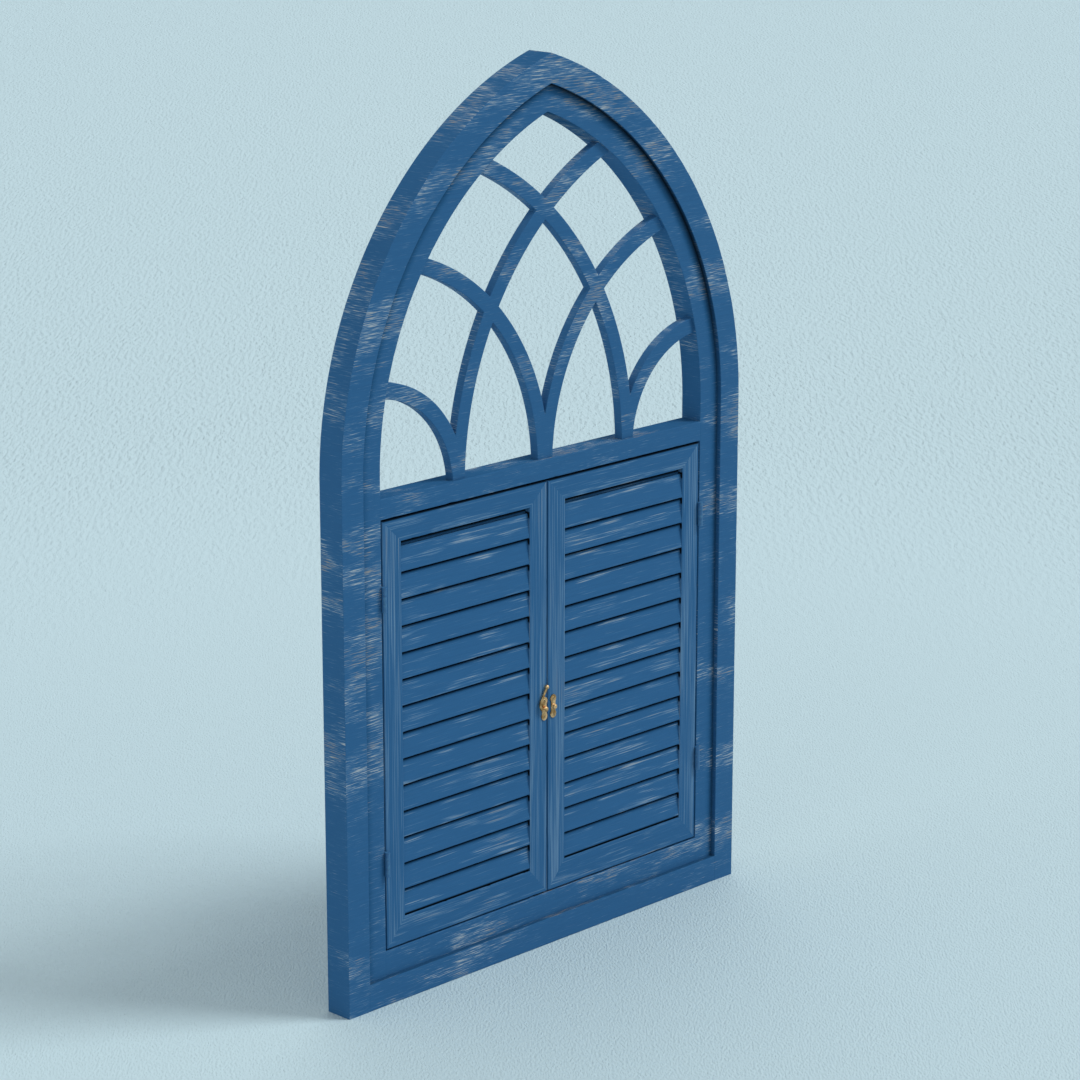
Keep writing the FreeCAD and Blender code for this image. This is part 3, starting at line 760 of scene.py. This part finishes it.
# Painted shade at the foot of the lowest slat, and how deep behind the front it is laid.
FOOT_SHADE, FOOT_FADE, SHADE_DEPTH = 1.6 * MM, 0.8 * MM, 4 * MM
slat_height = (PITCH - SLAT_GAP) / math.cos(LEAN)
lap_depth = SLAT_THICK - PITCH * math.sin(LEAN) + LAP_CLEARANCE


def slat_place(side, foot, foot_front):
    """Across is up the slat, the path is the distance from the middle; then it leans back."""
    def place(across, depth, path):
        return (side * path, foot_front + across * math.sin(LEAN) + depth * math.cos(LEAN),
                foot + across * math.cos(LEAN) - depth * math.sin(LEAN))
    return place


def slat_ring(tongue_top):
    """Profile of a slat: a blade, and a thin tongue at its back that closes the gap over it."""
    soft = 1.0 * MM
    return rounded_ring([(0.0, 0.0, soft, 1, 0), (slat_height, 0.0, soft, 1, 1),
                         (slat_height, lap_depth, 0.2 * MM, 0, 0),
                         (tongue_top, lap_depth, 0.4 * MM, 0, 1),
                         (tongue_top, SLAT_THICK, 0.4 * MM, 0, 2),
                         (0.0, SLAT_THICK, 0.8 * MM, 0, 3)])


def slat_shade(number):
    """Painted shade under the slat above, in front only, and at the foot of the lowest slat."""
    def painted_shade(across, depth, path):
        start, reach = TOP_SHADE if number == "14" else SHADE
        under = np.clip((across / slat_height - start) / reach, 0, 1)
        foot = np.clip((FOOT_SHADE - across) / FOOT_FADE, 0, 1) * (number == "01")
        return np.maximum(under, foot) * (depth < SHADE_DEPTH)
    return painted_shade


slat_count = 0
for side_name, side in SIDES.items():
    leaf = side_name + "_leaf"
    for node in sorted(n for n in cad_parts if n.startswith(leaf + "_slat_")):
        low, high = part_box(node)
        foot = low[2] + SLAT_THICK * math.sin(LEAN)
        tongue_top = (high[2] - foot + lap_depth * math.sin(LEAN)) / math.cos(LEAN)
        slat_count += 1
        timber(node, leaf, slat_ring(tongue_top),
               constant(meeting_outer - MM), constant(stile_inner + MM),
               stile_inner - meeting_outer, slat_place(side, foot, low[1]),
               strokes_along(0, 0.31 * slat_count), paints["slats"], 200 + slat_count,
               deepest=0.2 * MM, extra=lambda across: across / slat_height,
               painted_shade=slat_shade(node[-2:]))
print("slats:", slat_count)

# %% [markdown]
# ## Brass latch and painted hinges
# The latch is die-cast brass, tumbled smooth: warm yellow, satin, and browner in the slots,
# on the screw heads and near the wood, where tarnish and painted shade are mixed in. The
# hinges are small steel butts painted over with the frame.


# %% Metal finishes
def clouded(name, scale, detail, mix_at, colours, roughness, values, over=None):
    """A finish whose colour and roughness drift with one noise of scale grains to the metre.

    over(add, colour) may lay something over the colour.
    """
    material, add = new_material(name)
    place = add("TexCoord", out="Object")
    cloud = add("TexNoise", {"Vector": place, "Scale": scale, "Detail": detail})
    share = add("MapRange", (cloud, *mix_at), **CURVE)
    first, second = (linear(code) for code in colours)
    colour = add("Mix", {0: share, 6: first, 7: second}, **COLOURS)
    shade(add, {"Base Color": over(add, colour) if over else colour, **values,
                "Roughness": add("MapRange", (cloud, 0.3, 0.7, *roughness), **CURVE)})
    return material


# Tarnish brown, and the depths over which painted contact shade darkens the brass near the wood.
PATINA_AND_SHADE, CONTACT_SHADE_FROM, CONTACT_SHADE_FULL = "#3b2a1a", face - 1.05 * MM, face - 0.35 * MM


def patina_and_shade(add, colour):
    """Brown tarnish and painted shade in slots and on heads, and painted shade near the wood."""
    deep = add("SeparateXYZ", (add("TexCoord", out="Object"),), "Y")
    contact_shade = add("MapRange", (deep, CONTACT_SHADE_FROM, CONTACT_SHADE_FULL, 0.0, 0.92), **CURVE)
    painted_shade = add("Attribute", out="Fac", attribute_name="painted_shade")
    amount = add("Math", (painted_shade, contact_shade), **MAXIMUM)
    return add("Mix", {0: amount, 6: colour, 7: linear(PATINA_AND_SHADE)}, **COLOURS)


# Die-cast brass, tumbled and lacquered: satin, softly clouded over 7 mm.
brass = clouded("tumbled_cast_brass", 150.0, 3.0, (0.32, 0.68), ("#a0784a", "#efc491"),
                (0.36, 0.5), {"Metallic": 1.0}, patina_and_shade)
# Eggshell paint over steel butt hinges, a little uneven over 4 mm.
hinge_paint = clouded("eggshell_paint_on_steel", 260.0, 4.0, (0.45, 0.7),
                      ("#336795", "#45799f"), (0.4, 0.52), {"Specular IOR Level": 0.4})
# Steel screws blacked in oil: near black, browner every 1 mm. It shows in the slots.
screw_steel = clouded("oil_blackened_steel", 900.0, 3.0, (0.4, 0.7),
                      ("#1b1613", "#3a2d22"), (0.4, 0.6), {})

hinge_nodes = ("hinge_frame_halves", "hinge_pins", "hinge_frame_screws",
               "left_leaf_hinge_halves", "right_leaf_hinge_halves")
finishes = {"latch_rivet": brass, "left_leaf_screws": screw_steel,
            "right_leaf_screws": screw_steel, **dict.fromkeys(hinge_nodes, hinge_paint)}
for node, material in finishes.items():
    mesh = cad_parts[node].data
    mesh.materials.clear()
    mesh.materials.append(material)
print("finished solids:", sorted(finishes))


# %% [markdown]
# ## Rounded castings of the latch
# The plates, the hook and the post are castings with soft edges. A plate or the hook is one
# section carried along a line: a squared circle, |a|^(2/p) + |b|^(2/p) = 1, whose half width
# and half depth change along the line. The ball and the post are turned round an axis. Where
# two of these meet they are joined with the same exact union as the tracery.


# %% Skins for castings
LOBE, WAIST, PLATE = 4.4 * MM, 3.3 * MM, 1.2 * MM    # a plate's half widths and thickness
PLATE_EDGE = 1.5 * MM                                # a plate thins over this width
HEAD, HEAD_DOME, HEAD_PATINA_SHADE = 2.05 * MM, 0.25 * MM, 0.5    # a head's radius, rise, tarnish and painted shade
SINK = 0.4 * MM                                      # a stud's straight part starts this deep
SLOT_HALF, SLOT_WIDE, SLOT_DEEP = 1.75 * MM, 0.34 * MM, 0.55 * MM


def centre(node):
    """Middle of a solid's box."""
    low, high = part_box(node)
    return (np.array(low) + np.array(high)) / 2


def bar_skin(path, wide, deep, middle, square, columns=32):
    """Rings of a squared-circle section along a line, with a half width and depth for each."""
    tangent = np.gradient(path, axis=0)
    tangent /= np.linalg.norm(tangent, axis=1)[:, None]
    angle = np.linspace(0, 2 * np.pi, columns, endpoint=False)
    a = np.sign(np.cos(angle)) * np.abs(np.cos(angle)) ** square
    b = np.sign(np.sin(angle)) * np.abs(np.sin(angle)) ** square
    out = wide[:, None] * a
    return np.stack([path[:, :1] + tangent[:, 1:] * out, middle + deep[:, None] * b,
                     path[:, 1:] - tangent[:, :1] * out], axis=-1)


def turned_skin(x, z, radii, depths, columns=36):
    """Rings of a profile, given as radii at depths, turned round an axis along the depth."""
    angle = np.linspace(0, 2 * np.pi, columns, endpoint=False)
    radii, depths = np.asarray(radii)[:, None], np.asarray(depths)[:, None]
    return np.stack([x + radii * np.cos(angle), depths + 0 * angle,
                     z + radii * np.sin(angle)], axis=-1)


def domed_skin(x, z, radius, foot, shoulder, swell, turn):
    """A round stud from its foot to a dome: radius * cos(turn), shoulder - swell * sin(turn)."""
    return turned_skin(x, z, radius * np.concatenate([[0.9, 1.0], np.cos(turn)]),
                       np.concatenate([[foot + 0.1 * MM, foot], shoulder - swell * np.sin(turn)]))


def closed_skins(name, skins, painted_shade):
    """One mesh for each skin, closed with a pole at both ends, each with its painted shade value.
    """
    pieces = []
    for k, (rings, shade_amount) in enumerate(zip(skins, np.broadcast_to(painted_shade, len(skins)))):
        rows, columns = rings.shape[:2]
        points = np.concatenate([rings.reshape(-1, 3), [rings[0].mean(axis=0)],
                                 [rings[-1].mean(axis=0)]])
        here = np.arange(columns)
        after, last = (here + 1) % columns, (rows - 1) * columns
        quads = grid_faces(rows, columns)
        pole = np.full(columns, rows * columns)
        ends = np.concatenate([np.stack([pole, after, here], 1),
                               np.stack([pole + 1, last + here, last + after], 1)])
        if signed_volume(points, quads) < 0:
            quads, ends = quads[:, ::-1], ends[:, ::-1]
        uv = np.concatenate([points[quads.ravel()], points[ends.ravel()]])[:, [0, 2]]
        pieces.append(make_mesh(f"{name}_{k}", points, quads.tolist() + ends.tolist(), uv,
                                {"painted_shade": np.full(len(points), shade_amount)}, brass, 50))
    return pieces


def casting(name, skins, node, body, cuts=(), painted_shade=0.0):
    """Join the skins, cut the slots, and put the piece on its body in the node's place."""
    piece = join_exactly(closed_skins(name, skins, painted_shade), name)
    if len(cuts):
        cutters = closed_skins(name + "_slot", cuts, 1.0)
        piece = join_exactly([piece] + cutters, name, "DIFFERENCE")
    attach(piece, body)
    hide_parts(node)
    return piece


def lobed_plate(node):
    """A plate with a round lobe at each end and a narrower waist.

    The half width is the smooth greater of the waist and of the lobe's circle:
    (circle^8 + waist^8)^(1/8), with the circle taken flat between the lobes' middles.
    """
    middle, (low, high) = centre(node), span(node, 2)
    reach = (high - low) / 2
    rise = reach * np.sin(np.linspace(-1.5, 1.5, 61)) / math.sin(1.5) * 0.998
    from_lobe = np.abs(np.abs(rise) - (reach - LOBE))
    circle = np.sqrt(np.clip(LOBE ** 2 - from_lobe ** 2, 0, None))
    inside = np.abs(rise) < reach - LOBE
    wide = np.where(inside, (circle ** 8 + WAIST ** 8) ** (1 / 8), circle)
    deep = PLATE / 2 * np.sqrt(np.clip(wide / PLATE_EDGE, 0, 1))
    path = np.stack([middle[0] + 0 * rise, middle[2] + rise], axis=1)
    return bar_skin(path, wide, deep, face - PLATE / 2, square=0.35)


def screw_heads(node, turns):
    """Two low domed heads on a plate's lobes, and a slot across each, turned by some degrees."""
    (x, _, middle_z), (low, high) = centre(node), span(node, 2)
    offset, top = (high - low) / 2 - LOBE, face - PLATE
    heads, slots = [], []
    for step, degrees in zip((-1, 1), turns):
        z = middle_z + step * offset
        heads.append(domed_skin(x, z, HEAD, top + SINK, top, HEAD_DOME,
                                np.linspace(0, 1.45, 8)))
        run = np.linspace(-SLOT_HALF, SLOT_HALF, 6)[:, None]
        way = np.array([[math.sin(math.radians(degrees)), math.cos(math.radians(degrees))]])
        slots.append(bar_skin(np.array([[x, z]]) + run * way, SLOT_WIDE + 0 * run[:, 0],
                              SLOT_DEEP + 0 * run[:, 0], top, square=0.15))
    return heads, slots


# %% Plates, post and hook
POST, POST_LENGTH, POST_DOME = 2.6 * MM, 5.3 * MM, 1.4 * MM
EYE, ARM, BALL = 3.2 * MM, 1.3 * MM, 2.5 * MM        # radii or half widths along the hook
BOW_OFFSET, BOW_OUTER = 6.0 * MM, 9.455 * MM         # the bow's centre from the pivot, radius
BOW_END, BOW_TAPER = math.radians(58.6), 1.75        # angles where it ends and stops tapering
BALL_PLACE = np.array([24.6 * MM, -1.8 * MM])

heads, slots = screw_heads("latch_plate", (14, -35))
casting("left_latch_plate_cast", [lobed_plate("latch_plate")] + heads, "latch_plate",
        "left_leaf", slots, painted_shade=(0, HEAD_PATINA_SHADE, HEAD_PATINA_SHADE))
heads, slots = screw_heads("keeper_plate", (-12, 50))
post_x, _, post_z = centre("keeper_plate")
post = domed_skin(post_x, post_z, POST, face - SINK, face - POST_LENGTH + POST_DOME,
                  POST_DOME, np.linspace(0, 1.45, 9))
casting("keeper_plate_cast", [lobed_plate("keeper_plate"), post] + heads, "keeper_plate",
        "right_leaf", slots, painted_shade=(0, 0, HEAD_PATINA_SHADE, HEAD_PATINA_SHADE))

# The hook as it lies when hooked, about its pivot: the eye, the bow, the straight, the ball.
eye_z = -EYE * np.cos(np.linspace(0.12, np.pi / 2, 12))[:-1]
swing = np.linspace(np.pi, BOW_END, 40)
taper = np.clip((swing - BOW_TAPER) / (np.pi - BOW_TAPER), 0, 1)
bow_wide = ARM + (EYE - ARM) * taper ** 1.3
bow_radius = BOW_OUTER - bow_wide
bow = np.stack([BOW_OFFSET + bow_radius * np.cos(swing), bow_radius * np.sin(swing)], axis=1)
share = np.linspace(0, 1, 16)[1:, None]
straight = bow[-1] + share * (BALL_PLACE - bow[-1])
line = np.concatenate([np.stack([bow[0, 0] + 0 * eye_z, eye_z], axis=1), bow, straight])
wide = np.concatenate([np.sqrt(EYE ** 2 - eye_z ** 2), bow_wide, ARM + 0 * share[:, 0]])
deep = ARM * np.sqrt(np.clip(wide / ARM, 0, 1))
hook_middle = centre("latch_hook")[1]
pivot_x, _, pivot_z = centre("latch_rivet")
# At rest it is turned up by a quarter: (x, z) about the pivot goes to (-z, x).
upright = np.stack([pivot_x - line[:, 1], pivot_z + line[:, 0]], axis=1)
arc = np.linspace(0.08, np.pi - 0.08, 19)
ball = turned_skin(pivot_x - BALL_PLACE[1], pivot_z + BALL_PLACE[0], BALL * np.sin(arc),
                   hook_middle - BALL * np.cos(arc))
casting("latch_hook_cast", [bar_skin(upright, wide, deep, hook_middle, square=0.62), ball],
        "latch_hook", "latch_hook")
print("latch castings: 3")

# %% [markdown]
# ## Floor, light and camera
# The window stands on a pale plastered floor that runs on to the background. A wide, soft
# key light from the upper right, weak ones from the left and from behind, and an even sky
# light it, so a colour shows about as it is written and the floor darkens round the foot.
# The sky that the camera sees has the lit floor's colour, so no horizon shows.

# %% The studio
FLOOR_COLOUR = "#bed6dd"
FLOOR_REACH = 40.0
FINE_TO, ROUGH_FROM = 0.8, 2.6      # metres from the frame's foot
# Each coat: grit in mm, how far drawn out, height in mm close by and far off.
COATS = ((2.5, 2.4, 2.0, 0.0), (8.0, 3.2, 0.0, 7.5))


def plaster_floor():
    """Matt painted plaster, pale, its grit drawn out a little along the trowel's strokes.

    Real grit of 1 mm is too fine to show, so it is drawn 2.5 mm wide round the frame, and
    further off it gives way to a rougher coat with an 8 mm grit.
    """
    material, add = new_material("pale_plaster")
    source = add("TexCoord", out="Object")
    away = add("VectorMath", (source,), "Value", operation="LENGTH")
    coats = []
    for grit_mm, drawn_out, near_mm, far_mm in COATS:
        turned = add("Mapping", {"Vector": source, "Scale": (1.0, drawn_out, 1.0),
                                 "Rotation": (0.0, 0.0, math.radians(-45))},
                     vector_type="TEXTURE")
        grit = add("TexNoise", {"Vector": turned, "Scale": 1000 / grit_mm, "Detail": 3.0})
        height = add("MapRange", (away, FINE_TO, ROUGH_FROM, near_mm, far_mm), **CURVE)
        coats.append(add("Math", (grit, height), **TIMES))
    shade(add, {
        "Base Color": linear(FLOOR_COLOUR), "Roughness": 0.9, "Specular IOR Level": 0.1,
        "Normal": add("Bump", {"Strength": 1.0, "Distance": MM,
                               "Height": add("Math", coats, **PLUS)})})
    return material


floor_mesh = bpy.data.meshes.new("floor")
floor_mesh.from_pydata([(FLOOR_REACH * x, FLOOR_REACH * y, 0)
                        for x, y in ((-1, -1), (1, -1), (1, 1), (-1, 1))], [], [(0, 1, 2, 3)])
floor_mesh.materials.append(plaster_floor())
floor = put("floor", floor_mesh)
floor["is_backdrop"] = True

scene = bpy.context.scene
scene.view_settings.view_transform = "Standard"
world = bpy.data.worlds.new("studio_sky")
scene.world = world
world.use_nodes = True
world.node_tree.nodes.clear()
add = node_adder(world.node_tree)
rays = add("LightPath", out=None).outputs
seen = add("Math", (rays["Is Camera Ray"], rays["Is Glossy Ray"]), **MAXIMUM)
seen = add("Math", (seen, rays["Is Transmission Ray"]), **MAXIMUM)
SKY_LIGHT, SKY_STRENGTH, SKY_SEEN = "#fbfcff", 0.48, "#bed7de"
lit = add("Background", {"Color": linear(SKY_LIGHT), "Strength": SKY_STRENGTH})
shown = add("Background", {"Color": linear(SKY_SEEN), "Strength": 1.0})
add("OutputWorld", {"Surface": add("MixShader", (seen, lit, shown))}, None)

# Each lamp: strength, width in degrees, and how it is turned, in degrees.
lamps = {"soft_key": (1.65, 20, (38, 0, 44.5)), "soft_fill": (0.36, 60, (65, 0, -90)),
         "soft_back": (0.42, 40, (45, 0, 135))}
for lamp_name, (energy, spread, turns) in lamps.items():
    lamp_data = bpy.data.lights.new(lamp_name, "SUN")
    lamp_data.energy, lamp_data.angle = energy, math.radians(spread)
    lamp = put(lamp_name, lamp_data)
    lamp.rotation_euler = [math.radians(angle) for angle in turns]

camera_data = bpy.data.cameras.new("camera")
camera_data.sensor_width, camera_data.lens, camera_data.clip_end = 36.0, 115.0, 200.0
camera = put("camera", camera_data)
camera.location = (-2.5406, -2.4946, 1.4246)
camera.rotation_euler = (math.radians(90 - 15.21), 0, math.radians(-45.52))
scene.camera = camera
print("camera at", tuple(round(v, 3) for v in camera.location))

# %% [markdown]
# ## Sizes
# The box of the solids was printed at the start, and the box of the finished pieces is
# printed here. The finished model must stay inside the box of the solids.

# %% Write the boxes
shown_low, shown_high = [list(corner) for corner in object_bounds()]
print("visual box:", shown_low, shown_high)
